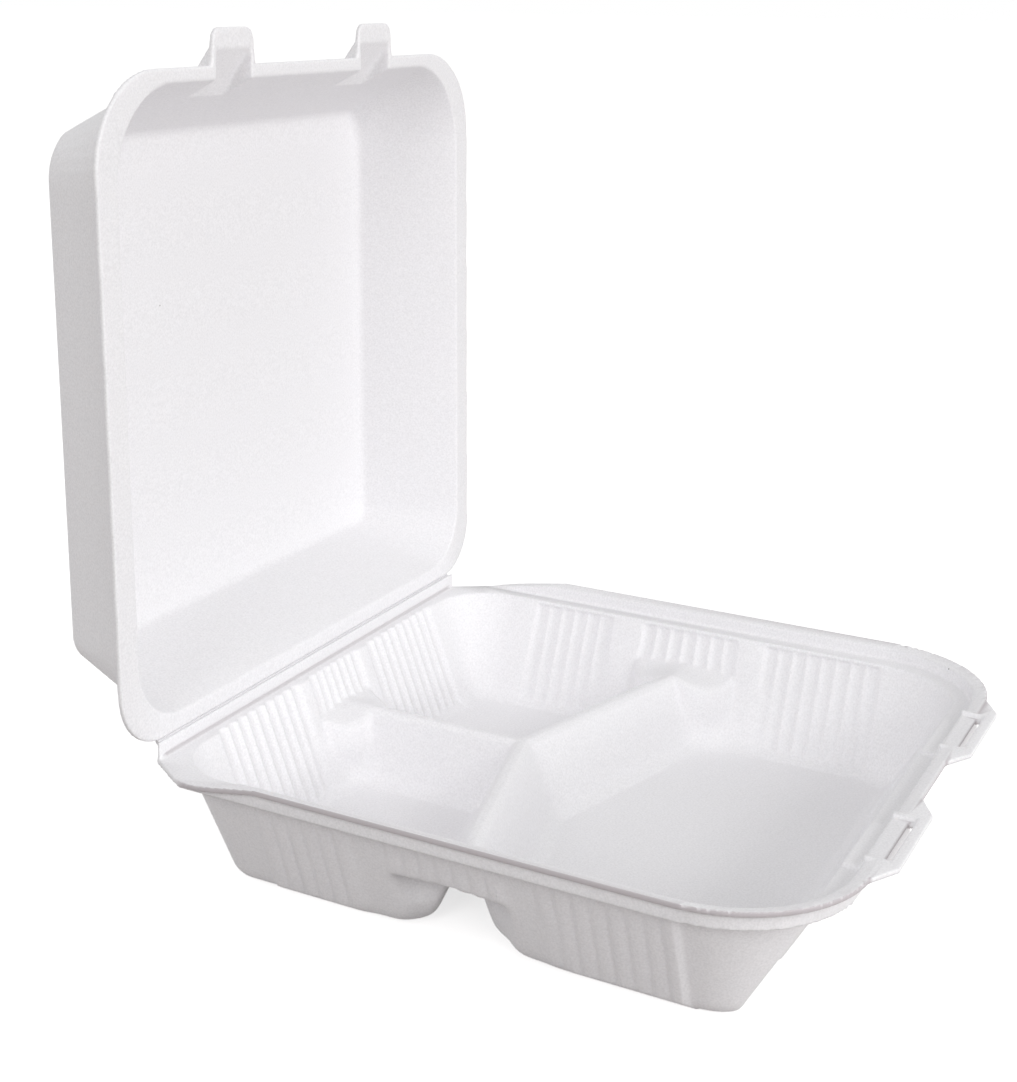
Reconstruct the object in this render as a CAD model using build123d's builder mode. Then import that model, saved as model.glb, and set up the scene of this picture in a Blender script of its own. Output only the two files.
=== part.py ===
import math
import os

from build123d import *

# Foam clamshell food container, in millimetres.
# X runs along the hinge, Y from the closing tabs (-) to the hinge (+), Z up from the foot.

# rim of the tray
rim_width = 232.0
rim_depth = 225.5
rim_height = 42.0
rim_thick = 1.8
front_corner = 44.0
hinge_corner = 30.0
lip_inner_rise = 4.5
lip_outer_rise = 5.5
lip_width = 4.8
ramp_start = 15.0
ramp_end = 47.0

# tub: one draft on its walls, with the front wall leaning more
wall = 2.0
draft = 21.8
front_draft = 28.8
mouth_half = 105.0
mouth_back = 5.5
mouth_front = 12.0
floor_front_corner = 15.0
floor_hinge_corner = 7.0
foot_round = 7.0
foot_cut = 3.3

# dividers, and the half-round ledges at their ends
ridge_drop = 13.0
ridge_half = 2.8
ridge_bevel = 1.5
ridge_foot = 13.5
ridge_y = 29.5
ridge_slope = 0.25
stem_foot = 8.0
disc_y = 6.5
disc_radius = 20.5
disc_foot = 24.5
disc_flare = 8.0
stem_disc_radius = 17.5
stem_disc_foot = 20.5
stem_disc_flare = 6.0
arch_drop = 17.5

# flutes pressed into the walls, ten-sided to keep the faces few
flute_pitch = 5.6
flute_radius = 3.7
flute_depth = 1.5
flute_top = 1.2
short_count = 7
rear_bay_count = 6
front_bay_count = 8
rear_bay_y = 56.2
front_bay_y = -46.2
hinge_bay_count = 9
hinge_bay_x = 49.0
front_wall_count = 20

# closing tabs of the tray
tab_x = 45.5
tab_root = 60.0
tab_tip = 39.0
tab_reach = 5.7
slot_length = 27.0
slot_width = 2.2
pocket_length = 31.0
pocket_drop = 1.4

# lid, drawn closed about the hinge line and then opened
open_angle = 91.3
lid_width = 237.0
lid_length = 214.6
lid_depth = 38.0
lid_thick = 1.8
lid_draft = 21.7
lid_front_draft = 25.9
lid_mouth_half = 109.0
lid_mouth_back = 6.0
lid_mouth_front = 4.4
lid_front_corner = 31.0
lid_hinge_corner = 20.5
panel_front_corner = 16.0
panel_hinge_corner = 7.0
panel_round = 4.0
tongue_root = 25.0
tongue_tip = 22.0
tongue_reach = 12.0
gusset_start = 5.3
gusset_run = 15.5
gusset_depth = 12.0
strip_half = 102.0
strip_thick = 1.4
hinge_gap = 0.15

back = rim_depth / 2
front = -rim_depth / 2
half = rim_width / 2
ledge_under = rim_height - rim_thick
axis_z = rim_height + lip_outer_rise
ridge_z = rim_height - ridge_drop
tiny = 0.15
os.makedirs("parts", exist_ok=True)


def leaning(degrees, height):
    return math.tan(math.radians(degrees)) * height


def tub_at(height, grow):
    depth = rim_height - height
    lean = leaning(draft, depth) - grow
    fore = front + mouth_front + leaning(front_draft, depth) - grow
    return mouth_half - lean, back - mouth_back - lean, fore


def rim_outline(width, fore, rear, fore_corner, rear_corner):
    with BuildSketch() as outline:
        with Locations((0, (fore + rear) / 2)):
            Rectangle(width, rear - fore)
        fillet(outline.vertices().group_by(Axis.Y)[0], fore_corner)
        if rear_corner > 0:
            fillet(outline.vertices().group_by(Axis.Y)[-1], rear_corner)
    return outline.sketch


def drafted(mouth, mouth_z, floor_z, taper):
    with BuildPart() as solid:
        with BuildSketch(Plane.XY.offset(mouth_z)):
            add(mouth)
        extrude(amount=floor_z - mouth_z, taper=taper)
    return solid.part


def tub(low, high, grow, soften, size):
    """Drafted tub with conical corners, its foot softened by a fillet or a chamfer."""
    lean = leaning(draft, rim_height - high) - grow
    spread = leaning(draft, high - wall) + grow
    mouth = rim_outline(
        2 * (mouth_half - lean),
        front + mouth_front + lean,
        back - mouth_back - lean,
        floor_front_corner + spread,
        floor_hinge_corner + spread,
    )
    top = tub_at(high + 1, grow)[2]
    foot = tub_at(low - 1, grow)[2]
    body = drafted(mouth, high, low, draft)
    with BuildPart() as solid:
        add(body)
        with BuildSketch(Plane.YZ):
            Polygon((top - 40, high + 1), (top, high + 1), (foot, low - 1), (top - 40, low - 1), align=None)
        extrude(amount=2 * mouth_half, both=True, mode=Mode.SUBTRACT)
        floor = solid.faces().filter_by(lambda f: abs(f.center().Z - low) < 1e-3)
        soften(floor.edges(), size)
    return solid.part


def lid_tub(low, high, grow, size):
    lean = leaning(lid_draft, low) - grow
    spread = leaning(lid_draft, lid_depth - low) + grow
    mouth = rim_outline(
        2 * (lid_mouth_half - lean),
        -lid_length + lid_mouth_front + lean,
        -lid_mouth_back - lean,
        panel_front_corner + spread,
        panel_hinge_corner + spread,
    )
    fore = -lid_length + lid_mouth_front - grow
    foot = fore + leaning(lid_front_draft, low - 1)
    top = fore + leaning(lid_front_draft, high + 1)
    body = drafted(mouth, low, high, lid_draft)
    with BuildPart() as solid:
        add(body)
        with BuildSketch(Plane.YZ):
            Polygon((fore - 40, low - 1), (foot, low - 1), (top, high + 1), (fore - 40, high + 1), align=None)
        extrude(amount=lid_width, both=True, mode=Mode.SUBTRACT)
        fillet(solid.faces().sort_by(Axis.Z)[-1].edges(), size)
    return solid.part


def divider_section(top_half, foot_half, low, top, foot, bevel):
    """Bevelled crest, drafted sides, and feet that flare into the floor."""
    sill = low - tiny
    reach = foot_half + foot + 4
    with BuildSketch() as section:
        Polygon(
            (-reach, low - 4),
            (reach, low - 4),
            (reach, sill),
            (foot_half, sill),
            (top_half, top),
            (-top_half, top),
            (-foot_half, sill),
            (-reach, sill),
            align=None,
        )
        if foot > 0:
            chamfer(section.vertices().filter_by(lambda v: abs(abs(v.X) - foot_half) < 1e-6), foot)
        if bevel > 0:
            chamfer(section.vertices().filter_by(lambda v: abs(v.Y - top) < 1e-6), bevel)
    return section.sketch


def disc_section(top_radius, foot_radius, low, top, flare, bevel):
    """Half profile of a round ledge whose foot sweeps out into the floor in three facets."""
    sill = low - tiny
    reach = foot_radius + flare + 4
    slant = Vector(top_radius - foot_radius, top - sill).normalized()
    sweep = []
    for third in range(4):
        along = third / 3
        out = (1 - along) ** 2 + along**2 * slant.X
        sweep.append((foot_radius + flare * out, sill + flare * along**2 * slant.Y))
    with BuildSketch() as section:
        Polygon(
            (0, low - 4),
            (reach, low - 4),
            (reach, sill),
            *sweep,
            (top_radius, top),
            (0, top),
            align=None,
        )
        if bevel > 0:
            chamfer(section.vertices().filter_by(lambda v: abs(v.X - top_radius) < 1e-6), bevel)
    return section.sketch


def swept(section, start, course, length):
    with BuildPart() as bar:
        with BuildSketch(Plane(origin=start, x_dir=Vector(0, 0, 1).cross(course), z_dir=course)):
            add(section)
        extrude(amount=length)
    return bar.part


def turned(section, x, y):
    with BuildPart() as post:
        with BuildSketch(Plane.XZ):
            add(section)
        revolve(axis=Axis.Z)
    return post.part.moved(Location((x, y, 0)))


def half_of(part, sign):
    with BuildPart() as piece:
        add(part)
        split(bisect_by=Plane.YZ, keep=Keep.TOP if sign > 0 else Keep.BOTTOM)
    return piece.part


def dividers(shrink, low, top, foot, bevel):
    """Two arms of a shallow V, the stem to the hinge wall, and the round ledges where they end."""
    crest = ridge_half - shrink
    lean = math.atan(ridge_slope)
    arm = divider_section(crest, ridge_foot - shrink, low, top, foot, bevel)
    stem = divider_section(crest, stem_foot - shrink, low, top, foot, bevel)
    side = disc_section(disc_radius - shrink, disc_foot - shrink, low, top, disc_flare + shrink, bevel)
    rear = disc_section(
        stem_disc_radius - shrink,
        stem_disc_foot - shrink,
        low,
        top,
        stem_disc_flare + shrink,
        bevel,
    )
    pieces = [
        swept(stem, Vector(0, ridge_y, 0), Vector(0, 1, 0), back - ridge_y),
        turned(side, -mouth_half, disc_y),
        turned(side, mouth_half, disc_y),
        turned(rear, 0, back - mouth_back),
    ]
    for sign in (1, -1):
        course = Vector(sign * math.cos(lean), -math.sin(lean), 0)
        bar = swept(arm, Vector(0, ridge_y, 0) - course * 12, course, 132)
        pieces.append(half_of(bar, sign))
    return pieces


def flutes(face, centre, count, pitch, top, low, grow):
    """Row of parallel flutes down one drafted wall, as one bar with a scalloped front."""
    side, rear, fore = tub_at(top, grow)
    low_side, low_rear, low_fore = tub_at(low, grow)
    start, end = {
        "left": (Vector(-side, centre, top), Vector(-low_side, centre, low)),
        "right": (Vector(side, centre, top), Vector(low_side, centre, low)),
        "rear": (Vector(centre, rear, top), Vector(centre, low_rear, low)),
        "front": (Vector(centre, fore, top), Vector(centre, low_fore, low)),
    }[face]
    course = (end - start).normalized()
    across = Vector(0, 0, 1).cross(course).normalized()
    outward = course.cross(across)
    if outward.Z > 0:
        across = across * -1
        outward = outward * -1
    with BuildPart() as bar:
        with BuildSketch(Plane(origin=start, x_dir=across, z_dir=course)):
            with Locations((0, flute_depth - flute_radius * math.cos(math.pi / 10))):
                with GridLocations(pitch, 1, count, 1):
                    RegularPolygon(flute_radius, 10)
            with Locations((0, -4.5)):
                Rectangle(count * pitch, 9)
        extrude(amount=(end - start).length)
    return bar.part


def flute_set(top, rear_top, low, short_low, grow):
    tall = []
    short = []
    for face in ("left", "right"):
        tall.append(flutes(face, rear_bay_y, rear_bay_count, flute_pitch, top, low, grow))
        tall.append(flutes(face, front_bay_y, front_bay_count, flute_pitch, top, low, grow))
        short.append(flutes(face, disc_y, short_count, flute_pitch, top, short_low - 4, grow))
    for x in (-hinge_bay_x, hinge_bay_x):
        tall.append(flutes("rear", x, hinge_bay_count, flute_pitch, rear_top, low, grow))
    tall.append(flutes("front", 0, front_wall_count, flute_pitch, top, low, grow))
    narrow = (2 * stem_disc_radius - 1) / short_count
    short.append(flutes("rear", 0, short_count, narrow, rear_top, short_low - 4, grow))
    with BuildPart() as rows:
        add(short)
        split(bisect_by=Plane.XY.offset(short_low), keep=Keep.TOP)
        add(tall)
    return rows.part


# inside of the tub: one drafted dish with the dividers left standing in it
skin = wall / math.cos(math.radians(draft))
swell = flute_depth / math.cos(math.radians(draft))
inner_dish = tub(wall, rim_height + 8, 0, fillet, foot_round)
inner_swell = tub(wall, rim_height + 8, swell, chamfer, foot_cut)
ridges = dividers(0, wall, ridge_z, foot_cut, ridge_bevel)
inner_rows = flute_set(rim_height - flute_top, rim_height + 3, -6, ridge_z, 0)
with BuildPart() as inner_flutes:
    add(inner_rows)
    add(inner_swell, mode=Mode.INTERSECT)
with BuildPart() as inner:
    add(inner_dish)
    add(ridges, mode=Mode.SUBTRACT)
    add(inner_flutes.part)

# outside of the tub: the same form one skin larger, hollow under the dividers
outer_dish = tub(0, rim_height - 0.5, skin, fillet, foot_round + wall)
outer_swell = tub(0, rim_height - 0.5, skin + swell, chamfer, foot_cut + wall / 2)
tunnels = dividers(wall, 0, ridge_z - wall, foot_cut + wall / 2, 0)
outer_rows = flute_set(rim_height - 1, rim_height - 1, -6, rim_height - arch_drop, skin)
with BuildPart() as outer_flutes:
    add(outer_rows)
    add(outer_swell, mode=Mode.INTERSECT)
with BuildPart() as hollow:
    add(tunnels)
    with Locations((0, 0, rim_height - arch_drop)):
        Box(400, 400, 60, align=(Align.CENTER, Align.CENTER, Align.MAX), mode=Mode.INTERSECT)
with BuildPart() as crown:
    add(tunnels)
    add(inner_dish, mode=Mode.INTERSECT)
with BuildPart() as outer:
    add(outer_dish)
    add(outer_flutes.part)
    add([hollow.part, crown.part], mode=Mode.SUBTRACT)

# rim: flat ledge, step and raised lip on the sides and front, with webs to the ends of the hinge strip
corner_x = half - hinge_corner
turn = 2 * math.atan((strip_half - corner_x) / hinge_corner)
web_x = corner_x + hinge_corner * math.sin(turn)
web_y = back - hinge_corner * (1 - math.cos(turn))
with BuildSketch() as webbed:
    add(rim_outline(rim_width, front, back, front_corner, hinge_corner))
    Polygon((corner_x, back), (web_x, web_y), (strip_half, back), align=None)
    Polygon((-corner_x, back), (-strip_half, back), (-web_x, web_y), align=None)
rim = webbed.sketch
step = rim_outline(rim_width - 2 * lip_width, front + lip_width, back + 40, front_corner - lip_width, 0)
clear = lip_width - rim_thick
riser = rim_outline(rim_width - 2 * clear, front + clear, back + 40, front_corner - clear, 0)
brim = rim_outline(rim_width, front, back + 40, front_corner, 0)
with BuildPart() as slope:
    with BuildSketch(Plane.XY.offset(lip_inner_rise)):
        add(step)
    with BuildSketch(Plane.XY.offset(lip_outer_rise)):
        add(brim)
    loft(ruled=True)
with BuildPart() as ramp:
    with BuildSketch(Plane.YZ):
        Polygon(
            (back - ramp_start, 0),
            (back - ramp_end, lip_outer_rise),
            (back - ramp_end, 20),
            (back + 60, 20),
            (back + 60, 0),
            align=None,
        )
    extrude(amount=rim_width, both=True)
with BuildPart() as lip:
    with BuildSketch(Plane.XY.offset(ledge_under)):
        add(rim)
        add(step, mode=Mode.SUBTRACT)
    extrude(amount=rim_thick + lip_outer_rise)
    add(slope.part.moved(Location((0, 0, rim_height))), mode=Mode.SUBTRACT)
    add(ramp.part.moved(Location((0, 0, rim_height))), mode=Mode.SUBTRACT)
with BuildPart() as under:
    with BuildSketch(Plane.XY.offset(ledge_under - 20)):
        Rectangle(rim_width + 60, rim_depth + 60)
        add(riser, mode=Mode.SUBTRACT)
    extrude(amount=20 + lip_outer_rise)
    add(slope.part.moved(Location((0, 0, ledge_under))), mode=Mode.SUBTRACT)
    add(ramp.part.moved(Location((0, 0, ledge_under))), mode=Mode.SUBTRACT)
with BuildPart() as frame:
    with BuildSketch(Plane.XY.offset(ledge_under)):
        add(rim)
    extrude(amount=rim_thick)
    add(lip.part)
    add(under.part, mode=Mode.SUBTRACT)

# closing tabs: a pocket across the lip for the lid's tongue, and a slot for its tip
with BuildPart() as base:
    add([outer.part, frame.part])
    with BuildSketch(Plane.XY.offset(axis_z - rim_thick)) as tabs:
        for x in (-tab_x, tab_x):
            with Locations((x, front)):
                Polygon(
                    (-tab_root / 2, 1.5),
                    (-tab_root / 2, 0),
                    (-tab_tip / 2, -tab_reach),
                    (tab_tip / 2, -tab_reach),
                    (tab_root / 2, 0),
                    (tab_root / 2, 1.5),
                    align=None,
                )
        fillet(tabs.vertices().filter_by(lambda v: v.Y < front - tab_reach + 0.1), 2.0)
    extrude(amount=rim_thick)
    with Locations((-tab_x, 0, 0), (tab_x, 0, 0)):
        with Locations((0, front + 1.6, axis_z)):
            Box(pocket_length + 3, 8, pocket_drop + rim_thick, align=(Align.CENTER, Align.CENTER, Align.MAX))
        with Locations((0, front + lip_width + 3, rim_height)):
            Box(pocket_length, 8, 1.4, align=(Align.CENTER, Align.CENTER, Align.MIN))
        with Locations((0, front + 3.1, axis_z)):
            Box(pocket_length, 10.4, 2 * pocket_drop, mode=Mode.SUBTRACT)
        with Locations((0, front - 1.0, axis_z)):
            Box(slot_length, slot_width, 12, mode=Mode.SUBTRACT)
    with Locations((0, back, ledge_under)):
        Box(
            2 * strip_half,
            strip_thick,
            rim_thick + lip_outer_rise,
            align=(Align.CENTER, Align.MAX, Align.MIN),
        )
    add(inner.part, mode=Mode.SUBTRACT)
base.part.label = "base_tray"
export_step(base.part, "parts/base_tray.step")

# lid, closed: hinge line at the origin, front edge towards -Y, depth along +Z
lid_skin = wall / math.cos(math.radians(lid_draft))
lid_out = lid_tub(hinge_gap, lid_depth + wall, lid_skin, panel_round + wall)
lid_in = lid_tub(-4, lid_depth, 0, panel_round)
flange = rim_outline(lid_width, -lid_length, -hinge_gap, lid_front_corner, lid_hinge_corner)
edge_y = -lid_length
trough_y = edge_y - gusset_start
pitch = math.atan2(gusset_depth, gusset_run)
skew = rim_thick / math.sin(pitch)
crest_z = gusset_depth + rim_thick / math.cos(pitch) + hinge_gap
with BuildPart() as closed:
    add(lid_out)
    with BuildSketch(Plane.XY.offset(hinge_gap)) as tongues:
        add(flange)
        for x in (-tab_x, tab_x):
            with Locations((x, edge_y)):
                Polygon(
                    (-tongue_root / 2, 2),
                    (-tongue_root / 2, 0),
                    (-tongue_tip / 2, -tongue_reach),
                    (tongue_tip / 2, -tongue_reach),
                    (tongue_root / 2, 0),
                    (tongue_root / 2, 2),
                    align=None,
                )
        fillet(tongues.vertices().filter_by(lambda v: v.Y < edge_y - tongue_reach + 0.1), 4.0)
    extrude(amount=lid_thick)
    for x in (-tab_x, tab_x):
        with BuildSketch(Plane.YZ.offset(x)):
            Polygon(
                (trough_y - skew, hinge_gap),
                (trough_y + gusset_run, crest_z),
                (trough_y + gusset_run + 6, hinge_gap),
                align=None,
            )
        extrude(amount=tongue_tip / 2 - 1 + rim_thick, both=True)
    add(lid_in, mode=Mode.SUBTRACT)
    for x in (-tab_x, tab_x):
        with BuildSketch(Plane.YZ.offset(x)):
            Polygon(
                (trough_y, hinge_gap),
                (trough_y + gusset_run, gusset_depth + hinge_gap),
                (trough_y + gusset_run + 3, gusset_depth - 4),
                (trough_y + gusset_run + 3, -2),
                (trough_y, -2),
                align=None,
            )
        extrude(amount=tongue_tip / 2 - 1, both=True, mode=Mode.SUBTRACT)
with BuildPart() as lid:
    with Locations((0, back, axis_z)):
        add(closed.part, rotation=(-open_angle, 0, 0))
lid.part.label = "lid"
export_step(lid.part, "parts/lid.step")
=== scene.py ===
import bpy
import math
import numpy as np
from mathutils import Matrix, Vector


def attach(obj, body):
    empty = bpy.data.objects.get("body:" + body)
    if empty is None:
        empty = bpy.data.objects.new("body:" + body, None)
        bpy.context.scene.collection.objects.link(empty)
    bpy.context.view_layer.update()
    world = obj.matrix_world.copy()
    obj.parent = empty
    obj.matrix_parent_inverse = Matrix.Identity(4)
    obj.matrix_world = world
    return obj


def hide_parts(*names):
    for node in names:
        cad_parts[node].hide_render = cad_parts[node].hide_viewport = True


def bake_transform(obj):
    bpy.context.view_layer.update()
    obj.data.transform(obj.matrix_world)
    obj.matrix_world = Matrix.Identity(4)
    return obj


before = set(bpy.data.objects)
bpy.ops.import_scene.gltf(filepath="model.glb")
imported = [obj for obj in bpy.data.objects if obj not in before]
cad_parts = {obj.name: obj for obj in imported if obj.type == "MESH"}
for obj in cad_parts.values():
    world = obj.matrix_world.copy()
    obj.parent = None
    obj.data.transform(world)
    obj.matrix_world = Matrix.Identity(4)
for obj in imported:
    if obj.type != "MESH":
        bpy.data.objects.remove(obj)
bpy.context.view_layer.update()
scene = bpy.context.scene
scene.view_settings.view_transform = "Standard"
print("frame loaded", sorted(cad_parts))


def toLinear(hexColour):  # sRGB hex to linear RGBA
    parts = [int(hexColour[i:i + 2], 16) / 255 for i in (1, 3, 5)]
    return [c / 12.92 if c <= 0.04045 else ((c + 0.055) / 1.055) ** 2.4 for c in parts] + [1]


def addNode(tree, kind, settings=None, inputs=None, links=None):
    node = tree.nodes.new(kind)
    for name, value in (settings or {}).items():
        setattr(node, name, value)
    for name, value in (inputs or {}).items():
        node.inputs[name].default_value = value
    for name, source in (links or {}).items():
        tree.links.new(source, node.inputs[name])
    return node


def mixColours(tree, factor, inputs, links=None):
    mix = addNode(
        tree, "ShaderNodeMix",
        settings={"data_type": "RGBA"},
        inputs={name: toLinear(colour) for name, colour in inputs.items()},
        links={"Factor": factor, **(links or {})},
    )
    return mix.outputs["Result"]


def newMaterial(name):
    material = bpy.data.materials.new(name)
    material.use_nodes = True
    material.node_tree.nodes.clear()
    return material, material.node_tree


def selectOnly(piece):
    bpy.ops.object.select_all(action="DESELECT")
    piece.select_set(True)
    bpy.context.view_layer.objects.active = piece


# Expanded polystyrene sheet, thermoformed: a matt closed-cell skin with a faint pebble from
# the cells, a slight orange peel from the mould and a few dark flecks of regrind.
foamSkin = {
    "white": "#faf9fb",
    "cellShade": "#edecee",
    # painted shade: the colour drawn on the tray's rim edge and in its score line, where shade
    # falls
    "paintedEdgeShade": "#c6c0c3",
    "fleck": "#8d8a88",
    "fleckSpacingMm": 30.0,
    "fleckMm": 0.26,
    "shadeRange": (0.3, 0.7),  # noise values that run from cellShade to white
    # real cells are about 0.3 mm; drawn coarser so that they show
    "cells": {"sizeMm": 0.7, "detail": 2.0, "roughness": 0.55, "bump": 0.35, "bumpMm": 0.1},
    "peel": {"sizeMm": 9.0, "detail": 3.0, "roughness": 0.5, "bump": 0.25, "bumpMm": 0.4},
    "surface": {
        "Roughness": 0.48,
        "IOR": 1.45,
        "Specular IOR Level": 0.4,
        "Subsurface Weight": 0.12,
        "Subsurface Radius": (0.0022, 0.0021, 0.002),
        "Subsurface Scale": 1.0,
    },
}


def makeNoise(tree, place, values):
    noise = addNode(
        tree, "ShaderNodeTexNoise",
        inputs={
            "Scale": 1000 / values["sizeMm"],
            "Detail": values["detail"],
            "Roughness": values["roughness"],
        },
        links={"Vector": place},
    )
    return noise.outputs["Fac"]


def makeBump(tree, values, links):
    bump = addNode(
        tree, "ShaderNodeBump",
        inputs={"Strength": values["bump"], "Distance": values["bumpMm"] / 1000},
        links=links,
    )
    return bump.outputs["Normal"]


def makeFoam(name, skin):
    material, tree = newMaterial(name)
    place = addNode(tree, "ShaderNodeTexCoord").outputs["Object"]
    cells = makeNoise(tree, place, skin["cells"])
    peel = makeNoise(tree, place, skin["peel"])
    grain = addNode(
        tree, "ShaderNodeMapRange",
        inputs={"From Min": skin["shadeRange"][0], "From Max": skin["shadeRange"][1]},
        links={"Value": cells},
    )
    flecks = addNode(
        tree, "ShaderNodeTexVoronoi",
        inputs={"Scale": 1000 / skin["fleckSpacingMm"], "Randomness": 1.0},
        links={"Vector": place},
    )
    near = addNode(
        tree, "ShaderNodeMath",
        settings={"operation": "LESS_THAN"},
        inputs={1: skin["fleckMm"] / skin["fleckSpacingMm"]},
        links={0: flecks.outputs["Distance"]},
    )
    # painted shade on the tray's rim edge and in the score line, read from a point attribute of
    # the mesh
    paintedShade = addNode(tree, "ShaderNodeAttribute", settings={"attribute_name": "paintedEdgeShade"})
    tone = mixColours(tree, grain.outputs["Result"], {"A": skin["cellShade"], "B": skin["white"]})
    speckled = mixColours(tree, near.outputs["Value"], {"B": skin["fleck"]}, {"A": tone})
    withPaintedShade = mixColours(tree, paintedShade.outputs["Fac"], {"B": skin["paintedEdgeShade"]}, {"A": speckled})
    broad = makeBump(tree, skin["peel"], {"Height": peel})
    fine = makeBump(tree, skin["cells"], {"Height": cells, "Normal": broad})
    shader = addNode(
        tree, "ShaderNodeBsdfPrincipled",
        inputs=skin["surface"],
        links={"Base Color": withPaintedShade, "Normal": fine},
    )
    addNode(tree, "ShaderNodeOutputMaterial", links={"Surface": shader.outputs["BSDF"]})
    return material


foam = makeFoam("thermoformed polystyrene foam", foamSkin)
print("foam made")


# Tray and lid: the frame's shells, joined up and drawn again as one skin each, whose edges
# and creases are rounded over, as a warm foam sheet leaves the mould.
shell = {
    "weldMm": 0.005,
    "gridMm": 0.6,
    "smoothing": 0.5,
    "softening": 1,
    "triangles": {"base_tray": 170000, "lid": 100000},
}

# The tray's own forms, in mm. A pair says where a form has its full weight and where it ends.
rounding = {
    "rounds": 150,
    "levels": 8,
    "mouths": {  # where the hollows under the dividers open
        "height": (20, 26),
        "sideReach": (72, 60),
        "sideMiddle": 6.5,
        "sideWidth": (32, 38),
        "rearReach": (82, 72),
        "rearWidth": (24, 30),
    },
    "feet": {  # where dividers and ledges sweep out into the floors
        "share": 0.12,
        "height": (19, 25),
        "floor": (6, 4),
        "armMiddle": 29.5,
        "armSlope": 0.25,
        "armWidth": (12, 17),
        "armEnd": (88, 92),
        "stemWidth": (9, 13),
        "stemStart": (30, 26),
        "stemEnd": (88, 92),
        "sideLedge": (97, 6.5),
        "sideRadius": (22, 26),
        "rearLedge": (0, 101),
        "rearRadius": (19, 23),
    },
    "apex": {  # front of the V, where the two arms meet
        "width": (16, 28),
        "middle": 15,
        "depth": (9, 12),
        "height": (24, 27),
        "floor": (4, 2.5),
    },
}
ledges = {
    "droop": 3.5,
    "push": 2.0,
    "bottom": (20, 10),
    "top": (30, 33),
    "fade": (1.15, 1.6),  # in radii
    "obliquePower": 1.5,  # least along the divider and the wall, most between them
    "centreSize": 0.1,
    "side": {"centre": (105, 6.5), "radius": 19},
    "rear": {"centre": (0, 107), "radius": 16},
}
crease = {  # score line along the foot of the hinge strip
    "place": (111.35, 42.9),
    "depth": 0.9,
    "lean": 0.3,
    "width": (0.1, 0.9),
    "ends": (98, 101),
    # painted shade in the score line: where it lies, how wide and how dark it is drawn
    "tonePlace": (111.9, 42.7),
    "toneWidth": (0.4, 0.9),
    "tone": 0.7,
}
rim = {  # outline that the press cuts
    "half": (116.0, 112.75),
    "frontCorner": 44.0,
    "hingeCorner": 30.0,
    "underside": 39.9,
    # width of the painted shade band along the cut rim edge
    "edge": (0.15, 0.5),
    "end": (94, 99),  # towards the hinge the sheet is folded, not cut
}


def pointsMm(mesh):
    flat = np.empty(3 * len(mesh.vertices))
    mesh.vertices.foreach_get("co", flat)
    return flat.reshape(-1, 3) * 1000


def putPoints(mesh, points):
    mesh.vertices.foreach_set("co", (points / 1000).ravel())
    mesh.update()


def ramp(value, full, none):  # 1 at full and beyond, falling to 0 at none
    return np.clip((none - value) / (none - full), 0, 1)


def mouthWeights(side, y, z):
    form = rounding["mouths"]
    along = np.abs(y - form["sideMiddle"])
    sides = ramp(side, *form["sideReach"]) * ramp(along, *form["sideWidth"])
    rear = ramp(y, *form["rearReach"]) * ramp(side, *form["rearWidth"])
    return ramp(z, *form["height"]) * np.maximum(sides, rear)


def footWeights(side, y, z):
    form = rounding["feet"]
    across = np.abs(y - form["armMiddle"] + form["armSlope"] * side)
    arms = ramp(across, *form["armWidth"]) * ramp(side, *form["armEnd"])
    stem = ramp(side, *form["stemWidth"]) * ramp(y, *form["stemStart"]) * ramp(y, *form["stemEnd"])
    rounds = [
        ramp(np.hypot(side - form[ledge][0], y - form[ledge][1]), *form[radius])
        for ledge, radius in (("sideLedge", "sideRadius"), ("rearLedge", "rearRadius"))
    ]
    plan = np.maximum.reduce((arms, stem, *rounds))
    return plan * ramp(z, *form["height"]) * ramp(z, *form["floor"])


def apexWeights(side, y, z):
    form = rounding["apex"]
    plan = ramp(side, *form["width"]) * ramp(np.abs(y - form["middle"]), *form["depth"])
    return plan * ramp(z, *form["height"]) * ramp(z, *form["floor"])


def roundForms(piece):
    x, y, z = pointsMm(piece.data).T
    side = np.abs(x)
    feet = rounding["feet"]["share"] * footWeights(side, y, z)
    weights = np.maximum.reduce((mouthWeights(side, y, z), feet, apexWeights(side, y, z)))
    group = piece.vertex_groups.new(name="rounded")
    levels = rounding["levels"]
    for level in range(1, levels + 1):
        chosen = np.flatnonzero((weights > (level - 1) / levels) & (weights <= level / levels))
        group.add(chosen.tolist(), level / levels, "REPLACE")
    smooth(piece, rounding["rounds"], {"vertex_group": group.name})


def droopLedges(piece):  # the half-round ledges sag towards their free edge beside each divider
    points = pointsMm(piece.data)
    x, y, z = points.T
    sideX, sideY = ledges["side"]["centre"]
    rearX, rearY = ledges["rear"]["centre"]
    places = {"side": (y - sideY, sideX - np.abs(x)), "rear": (x - rearX, rearY - y)}
    high = ramp(z, *ledges["bottom"]) * ramp(z, *ledges["top"])
    moves = np.zeros_like(points)
    for name, (along, out) in places.items():
        away = np.maximum(np.hypot(along, out), ledges["centreSize"])
        reach = away / ledges[name]["radius"]
        oblique = np.clip(2 * np.abs(along) * out / away**2, 0, 1) ** ledges["obliquePower"]
        droop = high * oblique * ramp(reach, *ledges["fade"]) * np.minimum(reach, 1) ** 2
        push = ledges["push"] * droop / away
        sideways, forward = push * along, -push * out
        if name == "side":
            sideways, forward = forward * np.sign(x), sideways
        moves += np.column_stack((sideways, forward, -ledges["droop"] * droop))
    putPoints(piece.data, points + moves)


def pressCrease(piece):
    points = pointsMm(piece.data)
    x, y, z = points.T
    away = np.hypot(y - crease["place"][0], z - crease["place"][1])
    push = crease["depth"] * ramp(away, *crease["width"]) * ramp(np.abs(x), *crease["ends"])
    points[:, 1] += push
    points[:, 2] -= crease["lean"] * push
    putPoints(piece.data, points)


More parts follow.
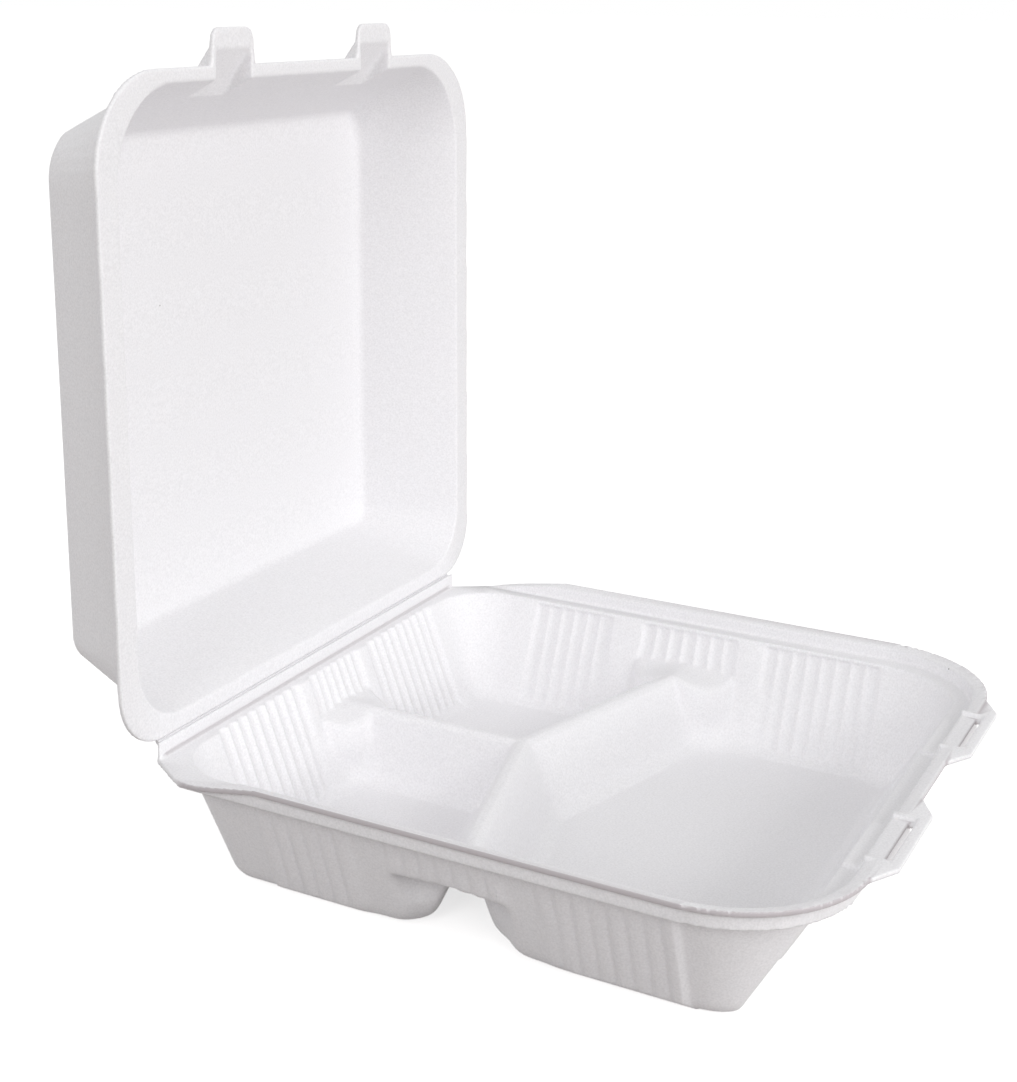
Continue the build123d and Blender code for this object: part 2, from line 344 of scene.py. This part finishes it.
def paintEdgeShade(piece):  # painted shade: the rim's cut edge and the score line are drawn darker than the moulded skin, standing in for the shade that falls on them
    points = pointsMm(piece.data)
    x, y, z = points.T
    corner = np.where(y < 0, rim["frontCorner"], rim["hingeCorner"])
    over = np.abs(points[:, :2]) - (np.array(rim["half"]) - corner[:, None])
    inside = np.minimum(np.maximum(over[:, 0], over[:, 1]), 0)
    depth = corner - np.hypot(*np.maximum(over, 0).T) - inside
    # painted shade along the tray's cut rim edge, in a thin band
    isCut = (z > rim["underside"]) * ramp(y, *rim["end"])
    paintedShade = isCut * ramp(np.abs(depth), *rim["edge"])
    # painted shade in the score line along the foot of the hinge strip
    away = np.hypot(y - crease["tonePlace"][0], z - crease["tonePlace"][1])
    creaseShade = crease["tone"] * ramp(away, *crease["toneWidth"]) * ramp(np.abs(x), *crease["ends"])
    layer = piece.data.attributes.new("paintedEdgeShade", "FLOAT", "POINT")
    layer.data.foreach_set("value", np.maximum(paintedShade, creaseShade).astype(np.float32))


def applyModifier(piece, kind, values):
    modifier = piece.modifiers.new(kind.lower(), kind)
    for name, value in values.items():
        setattr(modifier, name, value)
    bpy.ops.object.modifier_apply(modifier=modifier.name)


def smooth(piece, rounds, values=None):
    applyModifier(
        piece, "SMOOTH",
        {"factor": shell["smoothing"], "iterations": rounds, **(values or {})},
    )


def softShell(node, name):
    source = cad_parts[node]
    isTray = node == "base_tray"
    piece = source.copy()
    piece.data = source.data.copy()
    piece.name = name
    piece.parent = None
    scene.collection.objects.link(piece)
    selectOnly(piece)
    bpy.ops.object.mode_set(mode="EDIT")
    bpy.ops.mesh.select_all(action="SELECT")
    bpy.ops.mesh.remove_doubles(threshold=shell["weldMm"] / 1000)
    bpy.ops.object.mode_set(mode="OBJECT")
    applyModifier(piece, "REMESH", {"mode": "VOXEL", "voxel_size": shell["gridMm"] / 1000})
    if isTray:
        roundForms(piece)
    smooth(piece, shell["softening"])
    if isTray:
        droopLedges(piece)
        pressCrease(piece)
    triangles = sum(len(face.vertices) - 2 for face in piece.data.polygons)
    applyModifier(piece, "DECIMATE", {"ratio": shell["triangles"][node] / triangles})
    if isTray:
        # paints shade on the rim edge and in the score line
        paintEdgeShade(piece)
    bpy.ops.object.shade_smooth()
    piece.data.materials.clear()
    piece.data.materials.append(foam)
    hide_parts(node)
    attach(piece, node)
    return piece


tray = softShell("base_tray", "foam_tray")
lid = softShell("lid", "foam_lid")
print("tray and lid", len(tray.data.polygons), len(lid.data.polygons))


# Slots of the closing tabs: the flap that the punch leaves, turned down behind each slot.
flap = {
    "tabs": {"left": -0.0455, "right": 0.0455},
    "place": (0.0030, -0.11215, 0.0433),
    "size": (0.0315, 0.0009, 0.0046),
    "foot": 0.86,  # length of the free edge, as a share of the root's
    "round": 0.00025,
    "roundSteps": 2,
    "smoothDegrees": 40,
}


def makeFlap(side, values):
    x, y, z = values["place"]
    bpy.ops.object.select_all(action="DESELECT")
    bpy.ops.mesh.primitive_cube_add(size=1, location=(values["tabs"][side] + x, y, z))
    piece = bpy.context.object
    piece.name = "foam_flap_" + side
    piece.scale = values["size"]
    bpy.ops.object.transform_apply(location=True, rotation=True, scale=True)
    for face in piece.data.polygons:
        face.select = face.normal.z < -0.9  # its lower face
    bpy.ops.object.mode_set(mode="EDIT")
    bpy.ops.mesh.select_mode(type="FACE")
    bpy.ops.transform.resize(value=(values["foot"], 1, 1))
    bpy.ops.mesh.select_all(action="SELECT")
    bpy.ops.mesh.bevel(offset=values["round"], segments=values["roundSteps"], affect="EDGES")
    bpy.ops.object.mode_set(mode="OBJECT")
    bpy.ops.object.shade_smooth_by_angle(angle=math.radians(values["smoothDegrees"]))
    piece.data.materials.append(foam)
    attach(piece, "base_tray")


for side in flap["tabs"]:
    makeFlap(side, flap)
print("slot flaps made")


# Hinge: the sheet's own scored fold, a thin web behind the two edges.
fold = {
    "axis": (0, 0.11275, 0.0475),
    "halfLength": 0.1005,
    "innerMm": 0.35,
    "outerMm": 1.6,
    "tuckDegrees": 9,
    "steps": 12,
    "smoothDegrees": 40,
}


def makeFold(values):
    inner, outer = values["innerMm"] / 1000, values["outerMm"] / 1000
    tuck = math.radians(values["tuckDegrees"])
    middle = (inner + outer) / 2
    axis = Vector(values["axis"])
    bpy.ops.object.select_all(action="DESELECT")
    bpy.ops.mesh.primitive_plane_add(
        size=1,
        location=axis + Vector((0, -middle * math.sin(tuck), -middle * math.cos(tuck))),
        rotation=(math.pi / 2 - tuck, 0, 0),
    )
    web = bpy.context.object
    web.name = "foam_hinge"
    web.scale = (2 * values["halfLength"], outer - inner, 1)
    bpy.ops.object.transform_apply(location=True, rotation=True, scale=True)
    bpy.ops.object.mode_set(mode="EDIT")
    bpy.ops.mesh.select_all(action="SELECT")
    bpy.ops.mesh.spin(
        steps=values["steps"], angle=-math.pi / 2 - 2 * tuck, center=axis, axis=(1, 0, 0),
    )
    bpy.ops.mesh.select_all(action="SELECT")
    bpy.ops.mesh.normals_make_consistent(inside=False)
    bpy.ops.object.mode_set(mode="OBJECT")
    bpy.ops.object.shade_smooth_by_angle(angle=math.radians(values["smoothDegrees"]))
    web.data.materials.append(foam)
    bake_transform(web)
    return web


web = makeFold(fold)
print("hinge web", len(web.data.polygons))


# Floor, light and camera.
studio = {
    "floorSize": 40,
    "floorSeen": "#e1e0e0",
    "floorGlow": 0.7,  # lifts the seen paper to white and leaves the shadow on it
    "floorBounce": "#a39d9b",
    "floorRoughness": 0.9,
    "white": (1, 1, 1, 1),
    "roomStrength": 0.52,
    "roomSeen": 1.0,
    "lampSize": 0.7,
    "lamps": {
        "front_low_softbox": {"place": (0, -2.0, 0.3), "watts": 11.5},
        "front_softbox": {"place": (0, -1.7, 1.1), "watts": 5.6},
        "left_softbox": {"place": (-1.75, 0, 1.0), "watts": 7.8},
        "front_left_softbox": {"place": (-1.2, -1.3, 0.9), "watts": 4.5},
    },
    "aim": (0, 0.05, 0.1),
}


def viewedRay(tree):  # 1 for what the camera, a gloss or a clear surface shows
    path = addNode(tree, "ShaderNodeLightPath").outputs
    either = addNode(
        tree, "ShaderNodeMath",
        settings={"operation": "ADD"},
        links={0: path["Is Camera Ray"], 1: path["Is Glossy Ray"]},
    )
    return addNode(
        tree, "ShaderNodeMath",
        settings={"operation": "ADD", "use_clamp": True},
        links={0: either.outputs["Value"], 1: path["Is Transmission Ray"]},
    ).outputs["Value"]


def makeFloor(values):
    bpy.ops.object.select_all(action="DESELECT")
    bpy.ops.mesh.primitive_plane_add(size=values["floorSize"])
    floor = bpy.context.object
    floor.name = "floor"
    paint, tree = newMaterial("matt studio paper")
    seen = viewedRay(tree)
    colour = mixColours(tree, seen, {"A": values["floorBounce"], "B": values["floorSeen"]})
    paper = addNode(
        tree, "ShaderNodeBsdfPrincipled",
        inputs={"Roughness": values["floorRoughness"], "Specular IOR Level": 0.0},
        links={"Base Color": colour},
    )
    glow = addNode(
        tree, "ShaderNodeMath",
        settings={"operation": "MULTIPLY"},
        inputs={1: values["floorGlow"]},
        links={0: seen},
    )
    light = addNode(
        tree, "ShaderNodeEmission",
        inputs={"Color": values["white"]},
        links={"Strength": glow.outputs["Value"]},
    )
    both = addNode(
        tree, "ShaderNodeAddShader",
        links={0: paper.outputs["BSDF"], 1: light.outputs["Emission"]},
    )
    addNode(tree, "ShaderNodeOutputMaterial", links={"Surface": both.outputs["Shader"]})
    floor.data.materials.append(paint)


def makeRoom(values):
    scene.world = bpy.data.worlds.new("soft white room")
    scene.world.use_nodes = True
    room = scene.world.node_tree
    room.nodes.clear()
    strength = addNode(
        room, "ShaderNodeMix",
        settings={"data_type": "FLOAT"},
        inputs={"A": values["roomStrength"], "B": values["roomSeen"]},
        links={"Factor": viewedRay(room)},
    )
    sky = addNode(
        room, "ShaderNodeBackground",
        inputs={"Color": values["white"]},
        links={"Strength": strength.outputs["Result"]},
    )
    addNode(room, "ShaderNodeOutputWorld", links={"Surface": sky.outputs["Background"]})


def makeLamps(values):
    for name, lamp in values["lamps"].items():
        bpy.ops.object.light_add(type="AREA", location=lamp["place"])
        softbox = bpy.context.object
        softbox.name = name
        softbox.data.shape = "DISK"
        softbox.data.size = values["lampSize"]
        softbox.data.energy = lamp["watts"]
        aim = Vector(values["aim"]) - softbox.location
        softbox.rotation_euler = aim.to_track_quat("-Z", "Y").to_euler()


makeFloor(studio)
makeRoom(studio)
makeLamps(studio)

view = {
    "place": (-0.53792, -0.22105, 0.28619),
    "right": (0.495396, -0.868624, 0.008713),
    "up": (0.201994, 0.124945, 0.971384),
    "ahead": (0.844856, 0.47946, -0.237354),
    "focalPixels": 1799.78,
    "centrePixel": (390.56, 428.94),
    "pixels": (1017, 1082),
    "sensorMm": 36,
    "clipStart": 0.01,
}


def makeCamera(values):
    wide, high = values["pixels"]
    lens = bpy.data.cameras.new("camera")
    lens.sensor_width = values["sensorMm"]
    lens.lens = values["focalPixels"] * values["sensorMm"] / high
    lens.shift_x = (wide / 2 - values["centrePixel"][0]) / high
    lens.shift_y = (values["centrePixel"][1] - high / 2) / high
    lens.clip_start = values["clipStart"]
    camera = bpy.data.objects.new("camera", lens)
    scene.collection.objects.link(camera)
    right, up, ahead = (Vector(values[k]) for k in ("right", "up", "ahead"))
    turn = Matrix((right, up, -ahead)).transposed().to_4x4()
    camera.matrix_world = Matrix.Translation(values["place"]) @ turn
    scene.camera = camera


makeCamera(view)
print("studio and camera set")
